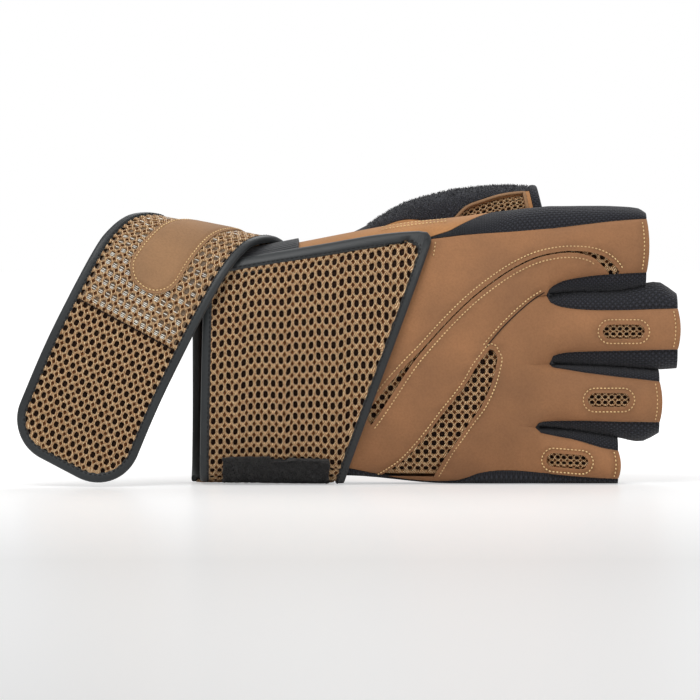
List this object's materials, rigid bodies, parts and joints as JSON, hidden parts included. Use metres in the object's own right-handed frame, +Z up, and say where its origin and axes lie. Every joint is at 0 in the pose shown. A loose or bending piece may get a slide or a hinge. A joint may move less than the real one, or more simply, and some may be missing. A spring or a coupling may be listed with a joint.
{
  "type": "weightlifting glove",
  "caption": "Fingerless padded leather training glove with a knitted wrist flap and a long wrist strap, resting on its little finger edge.",
  "frame": {"origin": "on the floor, in the middle of the flat edge that the glove stands on, below the little finger's knuckle", "axes": "+X towards the fingertips, +Z up from the little finger to the index finger, -Y out of the back of the hand"},
  "size_m": [0.2412, 0.0594, 0.1052],
  "materials": {
    "leather": "tan synthetic leather, fine grain, satin",
    "black_fabric": "black stretch fabric with a fine square weave, matt",
    "terry": "black terry towelling, fuzzy",
    "knitted_mesh": "open knitted mesh of golden brown yarn with oval holes",
    "binding": "dark grey satin binding tape with a stitch line",
    "hook_fastener": "black hook fastener, rough and matt",
    "hook_tape": "pale shiny hook tape",
    "elastic": "black ribbed elastic"
  },
  "bodies": {
    "root": {"back_panel": "leather", "palm_panel": "leather", "thumb_gusset": "leather", "thumb_front": "leather", "strap_tab": "leather", "index_side": "black_fabric", "little_side": "black_fabric", "fourchette_index_middle": "black_fabric", "fourchette_middle_ring": "black_fabric", "fourchette_ring_little": "black_fabric", "thumb_binding": "black_fabric", "thumb_back": "terry", "slit_mesh": "knitted_mesh", "wedge_mesh": "knitted_mesh", "vent_mesh_middle": "knitted_mesh", "vent_mesh_ring": "knitted_mesh", "vent_mesh_little": "knitted_mesh", "thumb_patch": "knitted_mesh", "wrist_band": "knitted_mesh", "cuff": "knitted_mesh", "strap": "knitted_mesh", "wrist_band_binding": "binding", "cuff_binding": "binding", "strap_binding": "binding", "hook_patch": "hook_fastener", "strap_hook_tape": "hook_tape", "wrist_elastic": "elastic"}
  },
  "joints": []
}
